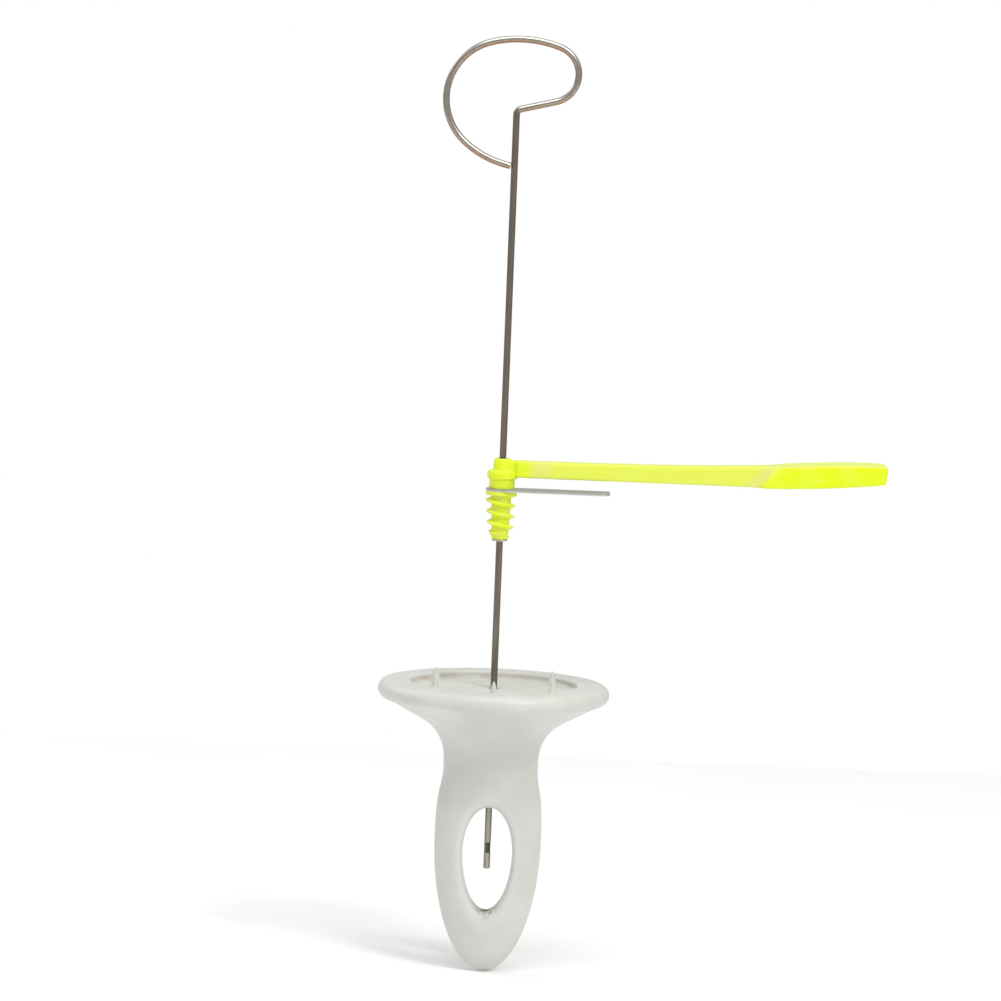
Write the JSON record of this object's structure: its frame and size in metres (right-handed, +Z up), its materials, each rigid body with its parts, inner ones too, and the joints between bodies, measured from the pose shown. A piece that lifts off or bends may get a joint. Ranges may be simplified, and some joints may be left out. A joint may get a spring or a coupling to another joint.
{
  "type": "spiral food cutter",
  "caption": "Hand-turned spiral food cutter: spiked disc on a finger-ring grip, looped wire skewer dropped through it, and a lime arm with blade and lead screw that winds down the wire.",
  "frame": {"origin": "middle of the handle's recess floor, on the bore's axis, where the food sits", "axes": "+Z up the skewer towards its loop, +X out along the cutter arm at rest, -Y towards the viewer"},
  "size_m": [0.1477, 0.0686, 0.2776],
  "materials": {
    "white_plastic": "moulded white polypropylene, satin gloss",
    "lime_plastic": "moulded lime polypropylene, satin gloss",
    "skewer_wire": "drawn stainless wire",
    "sleeve_steel": "turned stainless steel",
    "blade_steel": "rolled stainless strip with a ground edge"
  },
  "bodies": {
    "handle": {"handle": "white_plastic"},
    "skewer": {"skewer": "skewer_wire"},
    "sleeve": {"hub_sleeve": "sleeve_steel"},
    "cutter": {"cutter_arm": "lime_plastic", "drive_screw": "lime_plastic", "blade": "blade_steel"}
  },
  "joints": [
    {"name": "skewer_pull", "type": "slide", "parent": "handle", "child": "skewer", "axis": [0, 0, 1], "range_m": [0, 0.06]},
    {"name": "cutter_slide", "type": "slide", "parent": "skewer", "child": "sleeve", "axis": [0, 0, 1], "range_m": [-0.043, 0.0845]},
    {"name": "cutter_spin", "type": "hinge", "parent": "sleeve", "child": "cutter", "pos_m": [0, 0, 0.063], "axis": [0, 0, 1], "continuous": true}
  ]
}
